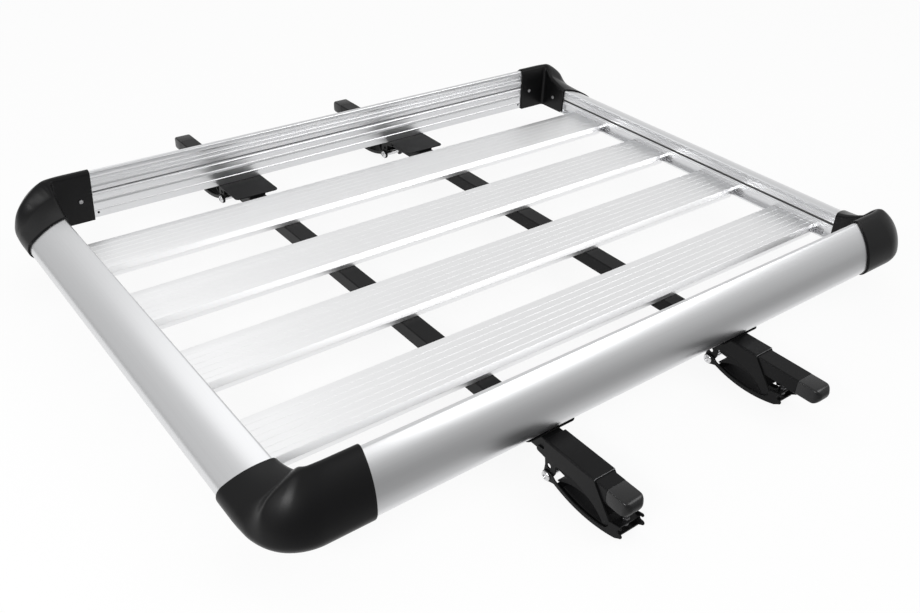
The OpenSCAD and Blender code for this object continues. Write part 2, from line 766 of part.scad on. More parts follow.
module bolt_back_right() { at_clamp(bar_x_right, clamp_br_y) bolt(); }
module tie_bolt_front_left() { at_clamp(bar_x_left, clamp_fl_y) tie_bolt(); }
module tie_bolt_front_right() { at_clamp(bar_x_right, clamp_fr_y) tie_bolt(); }
module tie_bolt_back_left() { at_clamp(bar_x_left, clamp_bl_y) tie_bolt(); }
module tie_bolt_back_right() { at_clamp(bar_x_right, clamp_br_y) tie_bolt(); }

rail_front();
rail_back();
rail_left();
rail_right();
corner_front_left();
corner_front_right();
corner_back_left();
corner_back_right();
corner_screws();
slat_1();
slat_2();
slat_3();
slat_4();
slat_angles();
crossbar_left();
crossbar_right();
bar_caps();
mount_plates();
spacers();
bracket_front_left();
bracket_front_right();
bracket_back_left();
bracket_back_right();
saddle_front_left();
saddle_front_right();
saddle_back_left();
saddle_back_right();
bolt_front_left();
bolt_front_right();
bolt_back_left();
bolt_back_right();
strap_front_left();
strap_front_right();
strap_back_left();
strap_back_right();
liner_front_left();
liner_front_right();
liner_back_left();
liner_back_right();
tie_bolt_front_left();
tie_bolt_front_right();
tie_bolt_back_left();
tie_bolt_back_right();
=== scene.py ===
import math

import bmesh
import bpy
from mathutils import Matrix, Vector
from mathutils.geometry import tessellate_polygon


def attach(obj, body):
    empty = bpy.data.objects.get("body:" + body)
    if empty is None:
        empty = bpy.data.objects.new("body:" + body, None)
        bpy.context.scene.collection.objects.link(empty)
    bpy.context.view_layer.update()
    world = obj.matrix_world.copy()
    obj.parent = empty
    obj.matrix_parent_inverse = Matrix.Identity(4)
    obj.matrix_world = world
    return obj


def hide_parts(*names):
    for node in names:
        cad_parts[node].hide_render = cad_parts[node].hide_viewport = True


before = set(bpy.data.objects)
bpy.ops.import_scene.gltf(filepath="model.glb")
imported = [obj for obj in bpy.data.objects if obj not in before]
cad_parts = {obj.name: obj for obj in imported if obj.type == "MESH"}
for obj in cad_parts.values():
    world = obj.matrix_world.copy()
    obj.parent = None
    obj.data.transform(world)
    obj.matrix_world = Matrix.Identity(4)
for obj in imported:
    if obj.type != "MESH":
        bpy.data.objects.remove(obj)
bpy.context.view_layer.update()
mm = 0.001


class Wire:
    # wraps a socket, so that shader maths reads as arithmetic
    def __init__(self, graph, socket):
        self.graph, self.socket = graph, socket

    def calc(self, operation, *values):
        return self.graph.add("ShaderNodeMath", {"operation": operation}, dict(enumerate(values)))

    def __add__(self, other): return self.calc("ADD", self, other)
    def __sub__(self, other): return self.calc("SUBTRACT", self, other)
    def __mul__(self, other): return self.calc("MULTIPLY", self, other)
    def __radd__(self, other): return self.calc("ADD", other, self)
    def __rsub__(self, other): return self.calc("SUBTRACT", other, self)
    def __rmul__(self, other): return self.calc("MULTIPLY", other, self)


def join(tree, value, socket):
    # value is a number, a socket, a wire or a node, whose first output counts
    if isinstance(value, Wire):
        value = value.socket
    if isinstance(value, bpy.types.Node):
        value = value.outputs[0]
    if isinstance(value, bpy.types.NodeSocket):
        tree.links.new(value, socket)
    else:
        socket.default_value = value


def addNode(tree, kind, settings, values):
    node = tree.nodes.new(kind)
    for key, value in settings.items():
        if key == "stops":
            for element, (place, shade) in zip(node.color_ramp.elements, value):
                element.position = place
                element.color = (shade, shade, shade, 1)
        else:
            setattr(node, key, value)
    for key, value in values.items():
        join(tree, value, node.inputs[key])
    return node


class Graph:
    # node tree of a material or a world: add() makes any node from its type, settings and values
    def __init__(self, owner):
        owner.use_nodes = True
        self.tree = owner.node_tree
        self.tree.nodes.clear()

    def add(self, kind, settings, values, output=0):
        return Wire(self, addNode(self.tree, kind, settings, values).outputs[output])

    def spread(self, value, edge, low, high, curve="SMOOTHSTEP"):
        # low before the first edge, high after the second
        return self.add("ShaderNodeMapRange", {"interpolation_type": curve},
                        {"Value": value, "From Min": edge[0], "From Max": edge[1], "To Min": low,
                         "To Max": high}, "Result")


class Paint(Graph):
    # one material on the principled shader
    def __init__(self, name):
        self.material = bpy.data.materials.new(name)
        super().__init__(self.material)
        self.shader = self.tree.nodes.new("ShaderNodeBsdfPrincipled")
        addNode(self.tree, "ShaderNodeOutputMaterial", {}, {0: self.shader.outputs[0]})
        self.place = self.add("ShaderNodeTexCoord", {}, {}, "Object")

    def stretch(self, scale):
        return self.add("ShaderNodeMapping", {"vector_type": "TEXTURE"},
                        {"Vector": self.place, "Scale": [1 / s for s in scale]})

    def noise(self, scale, detail=2.0, rough=0.5, where=None):
        return self.add("ShaderNodeTexNoise", {},
                        {"Vector": where or self.place, "Scale": scale, "Detail": detail, "Roughness": rough})

    def ramp(self, value, stops):
        return self.add("ShaderNodeValToRGB", {"stops": stops}, {"Fac": value}, "Color")

    def blend(self, amount, one, other):
        return self.add("ShaderNodeMix", {"data_type": "RGBA"},
                        {0: amount, 6: (*one, 1), 7: (*other, 1)}, 2)

    def bump(self, height, strength, distance):
        return self.add("ShaderNodeBump", {},
                        {"Strength": strength, "Distance": distance, "Height": height}, "Normal")

    def set(self, **values):
        names = {"colour": "Base Color", "rough": "Roughness", "metal": "Metallic", "normal": "Normal",
                 "specular": "Specular IOR Level"}
        for key, value in values.items():
            join(self.tree, value, self.shader.inputs[names[key]])
        return self.material


tones = {
    "rail": (0.74, 0.745, 0.755), "railRough": 0.31,
    # the slats are painted paler than the rails: painted light for the bright ceiling their tops face
    "slat": (0.93, 0.932, 0.938), "slatRough": 0.42,
    # the last tone of the next line is a painted highlight for the end face of the bracket's top sheet
    "screw": (0.45, 0.45, 0.46), "bolt": (0.72, 0.72, 0.73), "endHighlight": (0.20, 0.20, 0.205),
    # the two slot tones are painted shade for the insides of the rails' accessory slots
    "lowSlot": (0.13, 0.13, 0.132), "tallSlot": (0.62, 0.62, 0.63), "nut": (0.16, 0.16, 0.165),
    "moulding": (0.0035, 0.0035, 0.0038), "cap": (0.006, 0.006, 0.0064),
    "coat": (0.0045, 0.0045, 0.0048), "rubber": (0.004, 0.004, 0.0043),
}


def anodised(name, tone, rough, along):
    # satin extrusion: fine die lines along one axis under a matte oxide skin
    paint = Paint(name)
    lines = [900, 900, 900]
    lines[along] = 1.5
    die = paint.noise(1.0, 3.0, 0.6, paint.stretch(lines))
    soft = paint.noise(1.0, where=paint.stretch([0.8 if i == along else s / 14 for i, s in enumerate(lines)]))
    grain = paint.noise(1800.0)
    dark = tuple(t * 0.965 for t in tone)
    colour = paint.blend(paint.ramp(die * 0.6 + soft * 0.4, [(0.35, 0.0), (0.65, 1.0)]), dark, tone)
    height = die * 0.7 + grain * 0.3
    return paint.set(colour=colour, metal=1.0, rough=rough + 0.08 * (die - 0.5) + 0.04 * (grain - 0.5),
                     normal=paint.bump(height, 0.008, 0.00003))


def plated(name, tone, rough):
    # zinc plating with a fine cloudy grain
    paint = Paint(name)
    cloud = paint.noise(260.0, 3.0)
    fine = paint.noise(1500.0)
    colour = paint.blend(cloud, tuple(t * 0.82 for t in tone), tone)
    return paint.set(colour=colour, metal=1.0, rough=rough + 0.14 * (cloud - 0.5),
                     normal=paint.bump(fine, 0.15, 0.00005))


def moulded(name, tone, rough, grain, depth, specular):
    # moulded plastic with a fine spark-eroded grain
    paint = Paint(name)
    cells = paint.add("ShaderNodeTexVoronoi", {"feature": "F1"},
                      {"Vector": paint.place, "Scale": grain}, "Distance")
    pits = paint.noise(grain * 0.8, 3.0, 0.6)
    haze = paint.noise(12.0, 3.0)
    colour = paint.blend(haze * 0.5 + pits * 0.5, tone, tuple(t * 1.35 for t in tone))
    return paint.set(colour=colour, rough=rough + 0.06 * (haze - 0.5) + 0.08 * (pits - 0.5),
                     specular=specular, normal=paint.bump(cells * 0.5 + pits * 0.5, depth, 0.0001))


def coated(name, tone, rough, specular):
    # black powder coat with a slight orange peel
    paint = Paint(name)
    peel = paint.noise(420.0, rough=0.45)
    fine = paint.noise(1600.0)
    dust = paint.noise(30.0, 4.0, 0.6)
    colour = paint.blend(dust * 0.7 + fine * 0.3, tone, tuple(t * 1.5 for t in tone))
    return paint.set(colour=colour, rough=rough + 0.10 * (dust - 0.5) + 0.05 * (fine - 0.5),
                     specular=specular, normal=paint.bump(peel * 0.7 + fine * 0.3, 0.25, 0.00012))


def rubbery(name, tone):
    # dull rubber with a dusty bloom
    paint = Paint(name)
    fine = paint.noise(900.0, 3.0, 0.6)
    bloom = paint.noise(35.0, 4.0, 0.6)
    colour = paint.blend(bloom, tone, tuple(t * 1.8 for t in tone))
    return paint.set(colour=colour, rough=0.62 + 0.12 * (bloom - 0.5), specular=0.15,
                     normal=paint.bump(fine, 0.3, 0.0002))


finish = {
    "railX": anodised("railAluminiumX", tones["rail"], tones["railRough"], 0),
    "railY": anodised("railAluminiumY", tones["rail"], tones["railRough"], 1),
    # painted paler than the rails, as painted light for the bright ceiling the slats face
    "slat": anodised("paintedPaleSlatAluminium", tones["slat"], tones["slatRough"], 0),
    "moulding": moulded("cornerMoulding", tones["moulding"], 0.33, 1500.0, 0.12, 0.18),
    "cap": moulded("capPlastic", tones["cap"], 0.24, 1200.0, 0.10, 0.40),
    "coat": coated("blackPowderCoat", tones["coat"], 0.34, 0.12),
    "rubber": rubbery("blackRubber", tones["rubber"]),
    "screw": plated("screwSteel", tones["screw"], 0.34),
    "bolt": plated("boltSteel", tones["bolt"], 0.24),
    # painted highlight: a light grey for the end face of the bracket's top sheet
    "endHighlight": coated("paintedEndHighlight", tones["endHighlight"], 0.40, 0.5),
    # painted shade for the faces inside the rail slots, darker in the low rails and paler in the tall ones
    "lowSlot": coated("slotShade", tones["lowSlot"], 0.60, 0.4),
    "tallSlot": coated("paleSlotPaintedShade", tones["tallSlot"], 0.55, 0.5),
    "nut": plated("nutSteel", tones["nut"], 0.36),
}
print("materials", len(finish))


# shapes are drawn in millimetres and scaled once, when they become a mesh

def cosine(degrees):
    return math.cos(math.radians(degrees))


def sine(degrees):
    return math.sin(math.radians(degrees))


def arc(centre, radius, start, stop, steps):
    turns = [start + (stop - start) * i / steps for i in range(steps + 1)]
    return [Vector((centre[0] + radius * cosine(t), centre[1] + radius * sine(t))) for t in turns]


def rounded(corners, step=18):
    # polygon through (x, y, fillet radius) corners
    points = []
    for i, (x, y, radius) in enumerate(corners):
        here = Vector((x, y))
        if radius <= 0:
            points.append(here)
            continue
        back = (Vector(corners[i - 1][:2]) - here).normalized()
        on = (Vector(corners[(i + 1) % len(corners)][:2]) - here).normalized()
        half = back.angle(on) / 2
        centre = here + (back + on).normalized() * radius / math.sin(half)
        first, last = here + back * radius / math.tan(half), here + on * radius / math.tan(half)
        start = math.atan2(first.y - centre.y, first.x - centre.x)
        sweep = (math.atan2(last.y - centre.y, last.x - centre.x) - start + math.pi) % (2 * math.pi) - math.pi
        steps = max(2, math.ceil(abs(math.degrees(sweep)) / step))
        for k in range(steps + 1):
            turn = start + sweep * k / steps
            points.append(centre + radius * Vector((math.cos(turn), math.sin(turn))))
    return points


def box(left, low, right, high, radius):
    return rounded([(left, low, radius), (right, low, radius), (right, high, radius), (left, high, radius)])


def centredBox(width, height, radius):
    return box(-width / 2, -height / 2, width / 2, height / 2, radius)


def area(loop):
    return sum(a.x * b.y - a.y * b.x for a, b in zip(loop, loop[1:] + loop[:1])) / 2


def inset(loop, amount, flat):
    # loop drawn into the material; an edge whose two ends satisfy flat() stays where it is
    count = len(loop)
    sides = []
    for i in range(count):
        a, b = loop[i], loop[(i + 1) % count]
        way = (b - a).normalized()
        sides.append((Vector((-way.y, way.x)), 0.0 if flat and flat(a) and flat(b) else amount))
    moved = []
    for i in range(count):
        (n1, e1), (n2, e2) = sides[i - 1], sides[i]
        dot = n1.dot(n2)
        if e1 == e2 or dot > 0.9:
            moved.append(loop[i] + (n1 + n2) * (e1 + e2) / 2 / max(0.35, 1 + dot))
        else:
            cross = n1.x * n2.y - n1.y * n2.x
            moved.append(loop[i] + Vector((e1 * n2.y - e2 * n1.y, e2 * n1.x - e1 * n2.x)) / cross)
    return moved


def bridge(form, low, high):
    # quads between two closed rows of vertices
    for i in range(len(low)):
        j = (i + 1) % len(low)
        form.faces.new((low[i], low[j], high[j], high[i]))


def plate(form, outline, holes, depth, edge, place, flat=None, endMaterial=0):
    # solid of even depth with rounded edges; place(u, v, w) gives a point's position
    loops = [outline if area(outline) > 0 else outline[::-1]] + [h if area(h) < 0 else h[::-1] for h in holes]
    arcs = [(edge * (1 - cosine(t)), edge * (1 - sine(t))) for t in (0, 30, 60, 90)]
    levels = arcs + [(depth - w, e) for w, e in arcs[::-1]]
    stack = []
    for w, e in levels:
        stack.append([[form.verts.new(place(p.x, p.y, w)) for p in inset(loop, e, flat)] for loop in loops])
    for low, high in zip(stack, stack[1:]):
        for a, b in zip(low, high):
            bridge(form, a, b)
    for ring, (w, e) in ((stack[0], levels[0]), (stack[-1], levels[-1])):
        flatLoops = [[Vector((p.x, p.y, 0)) for p in inset(loop, e, flat)] for loop in loops]
        verts = [v for part in ring for v in part]
        if holes:
            parts = [[verts[i] for i in t] for t in tessellate_polygon(flatLoops) if len(set(t)) == 3]
        else:
            parts = [verts]
        for part in parts:
            form.faces.new(part).material_index = endMaterial if w > 0 else 0


def loft(form, rings):
    rows = [[form.verts.new(p) for p in ring] for ring in rings]
    for low, high in zip(rows, rows[1:]):
        bridge(form, low, high)
    form.faces.new(rows[0][::-1])
    form.faces.new(rows[-1])


def lathe(form, profile, steps, place):
    # profile of (radius, height), from pole to pole
    poles = [form.verts.new(place(0, 0, profile[0][1])), form.verts.new(place(0, 0, profile[-1][1]))]
    turns = [2 * math.pi * k / steps for k in range(steps)]
    rows = [[form.verts.new(place(r * math.cos(t), r * math.sin(t), z)) for t in turns]
            for r, z in profile[1:-1]]
    for low, high in zip(rows, rows[1:]):
        bridge(form, low, high)
    for i in range(steps):
        j = (i + 1) % steps
        form.faces.new((poles[0], rows[0][j], rows[0][i]))
        form.faces.new((poles[1], rows[-1][i], rows[-1][j]))
    return form


def hexagon(width):
    radius = width / math.sqrt(3)
    return [Vector((radius * cosine(60 * k), radius * sine(60 * k))) for k in range(6)]


def evaluated(piece):
    return bpy.data.meshes.new_from_object(piece.evaluated_get(bpy.context.evaluated_depsgraph_get()))


def giveLook(form, index):
    for face in form.faces:
        face.material_index = index


def settle(piece, weigh):
    # turns the piece's modifiers into plain mesh, with weighted normals if asked
    if weigh:
        shade = piece.modifiers.new("shade", "WEIGHTED_NORMAL")
        shade.keep_sharp = True
        shade.weight = 80
    if piece.modifiers:
        done = evaluated(piece)
        piece.modifiers.clear()
        piece.data = done


def addObject(name, mesh):
    piece = bpy.data.objects.new(name, mesh)
    bpy.context.scene.collection.objects.link(piece)
    return piece


def meshFrom(form, name, inMm=True):
    if inMm:
        bmesh.ops.scale(form, vec=(mm, mm, mm), verts=form.verts)
    bmesh.ops.recalc_face_normals(form, faces=form.faces)
    mesh = bpy.data.meshes.new(name)
    form.to_mesh(mesh)
    form.free()
    return mesh


def finishPiece(name, form, finishNames, body, hides=None, sharp=40, weigh=True, cut=None, inMm=True):
    # the piece stands for the nodes in hides, or else for the node of its own name
    hides = hides or [name]
    mesh = meshFrom(form, name, inMm)
    for key in finishNames:
        mesh.materials.append(finish[key])
    piece = addObject(name, mesh)
    if cut is not None:
        drill = piece.modifiers.new("drill", "BOOLEAN")
        drill.object = cut
        drill.solver = "EXACT"
        settle(piece, False)
        bpy.data.objects.remove(cut)
    piece.data.polygons.foreach_set("use_smooth", [True] * len(piece.data.polygons))
    piece.data.set_sharp_from_angle(angle=math.radians(sharp))
    settle(piece, weigh)
    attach(piece, body)
    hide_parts(*hides)


basket = {"length": 1078.0, "width": 822.9, "middle": -39.0, "railBottom": 66.6, "slatTop": 77.9}
base, middle, halfLong = basket["railBottom"], basket["middle"], basket["length"] / 2
front, back = middle - basket["width"] / 2, middle + basket["width"] / 2

tallRail = {"height": 84.1, "depth": 41.9, "skin": 96.1, "bead": 4.6, "foot": 17.0, "slot": 47.0,
            "mouth": 2.6, "steps": (10, 44, 12), "beads": (58.0, 28.5), "ribs": (42.0, 12.5),
            "rib": (1.0, 1.0), "fineRib": (66.5, 0.7, 0.6), "clear": 3, "insert": 3,
            "lip": ((0, 71.6), (0.9, 72.1), (0.9, 73.0), (0, 73.5), (-0.5, 75.0), (-0.5, 77.5)),
            "holeX": 467.0, "holeZ": 8.6, "hole": 4.2, "holeEnds": (-6, 1.4), "holeSteps": 20}
lowRail = {"height": 48.0, "depth": 65.4, "skin": 115.5, "bead": 3.4, "foot": 14.8, "slot": 27.3,
           "mouth": 4.0, "steps": (10, 48, 14), "fineRib": (34.5, 1.2, 0.5), "insert": 8,
           "lip": ((0, 40.4), (0.7, 40.9), (0.7, 41.5), (0, 42.0), (-0.5, 43.2)), "seat": 2.6,
           "recess": 17.0, "recessDepth": 3.4, "flange": 7.0, "wall": 1.8, "ledge": 1.2}
elbow = {"tallWing": 66.0, "tallRake": 4.0, "lowWing": 67.5, "lowRake": 15.0, "sleeve": 3.0, "inside": 3.4,
         "under": 1.8, "inner": 5.5, "turnX": 68.0, "turnY": 65.0, "grip": 10.0, "wallSteps": 12,
         "steps": (16, 30, 14),
         "from": ((0, 0.45), (12, 0.45), (27, 0.49), (32, 0.55), (37, 0.59), (41, 0.61), (46, 0.61),
                  (58, 0.56), (72, 0.48)),
         "to": ((0, 0.66), (12, 0.66), (28, 0.67), (37, 0.69), (46, 0.73), (58, 0.82), (72, 0.88)),
         "sinkFrom": 0.4, "sink": 1.5, "crown": 1.0, "rings": 128, "edge": 0.9, "gap": 0.3}


def circleInside(a, ra, b, rb):
    # point at the distances ra and rb from a and b, below the line between them
    d = (b - a).length
    u = (b - a) / d
    m = (ra * ra - rb * rb + d * d) / (2 * d)
    q = math.sqrt(ra * ra - m * m)
    return a + m * u + q * Vector((u.y, -u.x))


def railCircles(rail, tall):
    big, bead, foot = rail["skin"], rail["bead"], rail["foot"]
    top = Vector((bead, rail["height"] - bead))
    if tall:
        x = rail["depth"] - big
        centre = Vector((x, top.y - math.sqrt((big - bead) ** 2 - (bead - x) ** 2)))
        heel = Vector((x + math.sqrt((big - foot) ** 2 - (centre.y - foot) ** 2), foot))
    else:
        heel = Vector((rail["depth"] - foot, foot))
        centre = circleInside(top, big - bead, heel, big - foot)
    return centre, top, heel


tallRail["circles"] = railCircles(tallRail, True)
lowRail["circles"] = railCircles(lowRail, False)


def bearing(vector):
    return math.degrees(math.atan2(vector.y, vector.x))


def skinLine(rail, out, inn, steps):
    # top bead, broad skin and foot, from the inner wall round to the bottom
    beadSteps, skinSteps, footSteps = steps
    centre, top, heel = rail["circles"]
    ab, af = bearing(top - centre), bearing(heel - centre)
    line = arc((top.x + out - inn, top.y), rail["bead"] + out, 180, ab, beadSteps)
    line += arc(centre, rail["skin"] + out, ab, af, skinSteps)[1:]
    return line + arc(heel, rail["foot"] + out, af, -90, footSteps)[1:]


pocket = {"neck": 2.4, "deep": 7.0, "wide": 4.0}


def slotCut(z, mouth):
    # mouth, neck and pocket of the accessory slot, from below upwards
    half, neck, deep, wide = mouth / 2, pocket["neck"], pocket["deep"], pocket["wide"]
    return [(0, z - half - 0.5), (0.5, z - half), (neck, z - half), (neck, z - wide), (deep, z - wide),
            (deep, z + wide), (neck, z + wide), (neck, z + half), (0.5, z + half), (0, z + half + 0.5)]


def smallRib(z, half, out):
    return [(0, z - half - out), (-out * 0.7, z - half), (-out, z - half * 0.4), (-out, z + half * 0.4),
            (-out * 0.7, z + half), (0, z + half + out)]


# proud bead with a long upper slope that catches the light
beadLine = ((0, -3.2), (-1.3, -2.9), (-1.8, -2.5), (-2, -2.0), (-2, -1.5), (-1.85, -0.9), (-0.6, 2.6),
            (-0.3, 3.0), (0, 3.3))


def bead(z):
    return [(x, z + rise) for x, rise in beadLine]


def tallSection():
    wall = [(0.6, 0), (0, 0.6)]
    (high, low), (upper, lower) = tallRail["beads"], tallRail["ribs"]
    wall += smallRib(lower, *tallRail["rib"]) + bead(low) + smallRib(upper, *tallRail["rib"])
    wall += slotCut(tallRail["slot"], tallRail["mouth"]) + bead(high) + smallRib(*tallRail["fineRib"])
    wall += tallRail["lip"]
    return [Vector(p) for p in wall] + skinLine(tallRail, 0, 0, tallRail["steps"])


def lowSection():
    r = lowRail
    shelf = r["seat"] + r["recess"]
    ledgeTop = shelf + r["wall"] + r["ledge"]
    wall = [(-r["flange"] + 0.5, 0), (-r["flange"], 0.5), (-r["flange"], r["seat"] - 0.5),
            (-r["flange"] + 0.5, r["seat"]), (r["recessDepth"], r["seat"]), (r["recessDepth"], shelf),
            (-r["ledge"] + 0.4, shelf), (-r["ledge"], shelf + 0.4), (-r["ledge"], ledgeTop - 0.6),
            (-r["ledge"] + 0.6, ledgeTop), (0, ledgeTop)]
    wall += slotCut(r["slot"], r["mouth"]) + smallRib(*r["fineRib"])
    wall += r["lip"]
    return [Vector(p) for p in wall] + skinLine(r, 0, 0, r["steps"])


def railPiece(name, key, section, rail, length, place, material, cut=None):
    # the full section between the elbows, and the plain skin where they grip it
    form = bmesh.new()
    half = length / 2
    loft(form, [[place(x, p.x, p.y) for p in section] for x in (-half, half)])
    form.faces.ensure_lookup_table()
    # faces inside the slot are painted darker, as painted shade in the slot
    deep = [0.6 < p.x < pocket["deep"] + 1 and abs(p.y - rail["slot"]) < pocket["wide"] + 0.5
            for p in section]
    for i, inside in enumerate(deep):
        if inside and deep[(i + 1) % len(deep)]:
            form.faces[i].material_index = 1
    plain = [Vector((0, z)) for z in (0.3, rail["height"] * 0.4, rail["height"] * 0.7)]
    plain += skinLine(rail, 0, 0, rail["steps"])
    grip = elbow["grip"] + rail["insert"]
    for side in (-1, 1):
        loft(form, [[place(side * x, p.x, p.y) for p in plain] for x in (half - 0.01, half + grip)])
    finishPiece(name, form, [material, key + "Slot", "coat"], "rack", sharp=32, weigh=False, cut=cut)


def drillFor(y):
    # cutter for the two small end holes of a tall rail
    form = bmesh.new()
    radius, (start, stop) = tallRail["hole"] / 2, tallRail["holeEnds"]
    for side in (-1, 1):
        lathe(form, [(0, start), (radius, start), (radius, stop), (0, stop)], tallRail["holeSteps"],
              lambda a, b, w: Vector((side * tallRail["holeX"] + a, y + (w if y > middle else -w),
                                      base + tallRail["holeZ"] + b)))
    # the hole walls take the rail's third material, the black coat: painted shade in the drilled holes
    giveLook(form, 2)
    return addObject("drill", meshFrom(form, "drill"))


tallLength = basket["length"] - 2 * elbow["tallWing"] - tallRail["clear"]
lowLength = basket["width"] - 2 * elbow["lowWing"]
for name, edge, way in (("rail_front", front, -1), ("rail_back", back, 1)):
    railPiece(name, "tall", tallSection(), tallRail, tallLength,
              lambda x, a, h: Vector((x, edge + way * a, base + h)), "railX", drillFor(edge))
for name, side in (("rail_left", -1), ("rail_right", 1)):
    railPiece(name, "low", lowSection(), lowRail, lowLength,
              lambda y, a, h: Vector((side * (halfLong + a), middle + y, base + h)), "railY")
print("rails", 4)


# elbows: the tall section swept into the low one round the corner, in the corner's own frame

def sleeveLine(rail, out, inn):
    top, steps = rail["circles"][1], elbow["wallSteps"]
    wall = [Vector((-inn, -out + (top.y + out) * i / steps)) for i in range(steps)]
    return wall + skinLine(rail, out, inn, elbow["steps"])


def ease(t):
    t = min(1.0, max(0.0, t))
    return t * t * (3 - 2 * t)


def along(u, first, turn, last):
    # distance along a path of two straights and a turn; u = 0.5 is the middle of the turn
    if u < 0.5:
        return 2 * u * (first + turn / 2)
    return first + turn / 2 + (2 * u - 1) * (last + turn / 2)


def innerAt(u, w):
    c = elbow["inside"] + elbow["inner"]
    r = elbow["inner"] + w
    turn, first = r * math.pi / 2, elbow["tallWing"] - c
    d = along(u, first, turn, elbow["lowWing"] - c)
    if d < first:
        return Vector((elbow["tallWing"] - d, c - r))
    if d > first + turn:
        return Vector((c - r, c + d - first - turn))
    a = (d - first) / r
    return Vector((c - r * math.sin(a), c - r * math.cos(a)))


def outerAt(u, w):
    x = lowRail["depth"] + elbow["sleeve"] - w
    y = tallRail["depth"] + elbow["sleeve"] - w
    rx, ry = elbow["turnX"] - w, elbow["turnY"] - w
    turn = math.pi / 4 * (rx + ry)
    first = elbow["tallWing"] + x - rx
    d = along(u, first, turn, elbow["lowWing"] + elbow["lowRake"] + y - ry)
    if d < first:
        return Vector((elbow["tallWing"] - d, -y))
    if d > first + turn:
        return Vector((-x, ry - y + d - first - turn))
    a = (d - first) / turn * math.pi / 2
    return Vector((rx - x - rx * math.sin(a), ry - y - ry * math.cos(a)))


def between(knots, k):
    # value at k on the broken line through the knots
    for (a, low), (b, high) in zip(knots, knots[1:]):
        if k <= b:
            return low + (high - low) * (k - a) / (b - a)
    return knots[-1][1]


def elbowRing(u, w):
    # outline at the share u of the way round, drawn in by w
    out, inn = elbow["sleeve"] - w, elbow["inside"] - w
    tall, low = sleeveLine(tallRail, out, inn), sleeveLine(lowRail, out, inn)
    i, o = innerAt(u, w), outerAt(u, w)
    lean = elbow["tallRake"] * max(0.0, 1 - 2 * u)
    fall = (1 - max(0.0, (u - elbow["sinkFrom"]) / (1 - elbow["sinkFrom"]))) ** elbow["sink"]
    ring = []
    for k, (t, l) in enumerate(zip(tall, low)):
        start, stop = between(elbow["from"], k), between(elbow["to"], k)
        s = ease((u - start) / (stop - start))
        qt = (t.x + inn) / (tallRail["depth"] + out + inn)
        ql = (l.x + inn) / (lowRail["depth"] + out + inn)
        lift = 1 + (tallRail["height"] / lowRail["height"] - 1) * fall * max(0.0, 1 - ql) ** elbow["crown"]
        z = (1 - s) * t.y + s * l.y * (lift if l.y > 0 else 1)
        h = z * elbow["under"] / elbow["sleeve"] if z < 0 else z
        p = i + (o - i) * ((1 - s) * qt + s * ql)
        ring.append(Vector((p.x + lean * (h / tallRail["height"] - 0.5), p.y, h)))
    return ring


def elbowRings():
    e, gap, grip = elbow["edge"], elbow["gap"], elbow["grip"]
    turns = (90, 60, 30, 0)
    tallSocket = sleeveLine(tallRail, gap, gap)
    lowSocket = sleeveLine(lowRail, gap, gap)
    rake = elbow["lowRake"] / (lowRail["depth"] + elbow["sleeve"] + elbow["inside"])
    tallRim = [Vector((elbow["tallWing"] + elbow["tallRake"] * (p.y / tallRail["height"] - 0.5), -p.x, p.y))
               for p in tallSocket]
    lowRim = [Vector((-p.x, elbow["lowWing"] + rake * (p.x + elbow["inside"]), p.y)) for p in lowSocket]
    rings = [[p - Vector((grip, 0, 0)) for p in tallRim], tallRim]
    rings += [[p - Vector((e * (1 - sine(t)), 0, 0)) for p in elbowRing(0, e * (1 - cosine(t)))]
              for t in turns]
    rings += [elbowRing(j / elbow["rings"], 0) for j in range(2, elbow["rings"] - 1)]
    rings += [[p - Vector((0, e * (1 - sine(t)), 0)) for p in elbowRing(1, e * (1 - cosine(t)))]
              for t in turns[::-1]]
    return rings + [lowRim, [p - Vector((0, grip, 0)) for p in lowRim]]


sweep = elbowRings()
corners = {"front_left": (-1, -1), "front_right": (1, -1), "back_left": (-1, 1), "back_right": (1, 1)}


def atCorner(corner, p):
    sx, sy = corners[corner]
    x, y, z = p
    return Vector((sx * (halfLong - x), middle + sy * (basket["width"] / 2 - y), base + z))


for corner in corners:
    form = bmesh.new()
    loft(form, [[atCorner(corner, p) for p in ring] for ring in sweep])
    finishPiece("corner_" + corner, form, ["moulding"], "rack", sharp=38, weigh=False)
print("elbows", len(corners))


# geometry node trees: one extrudes a section into a row of bars, one sets a part on points

def addTree(name, inputs):
    tree = bpy.data.node_groups.new(name, "GeometryNodeTree")
    for label, kind in (("Geometry", "Geometry"), *inputs.items(), ("Material", "Material")):
        tree.interface.new_socket(name=label, in_out="INPUT", socket_type="NodeSocket" + kind)
    tree.interface.new_socket(name="Geometry", in_out="OUTPUT", socket_type="NodeSocketGeometry")
    return tree, tree.nodes.new("NodeGroupInput"), tree.nodes.new("NodeGroupOutput")


def endTree(tree, shape, given, result):
    real = addNode(tree, "GeometryNodeRealizeInstances", {}, {"Geometry": shape})
    dressed = addNode(tree, "GeometryNodeSetMaterial", {},
                      {"Geometry": real, "Material": given.outputs["Material"]})
    join(tree, dressed, result.inputs[0])
    return tree


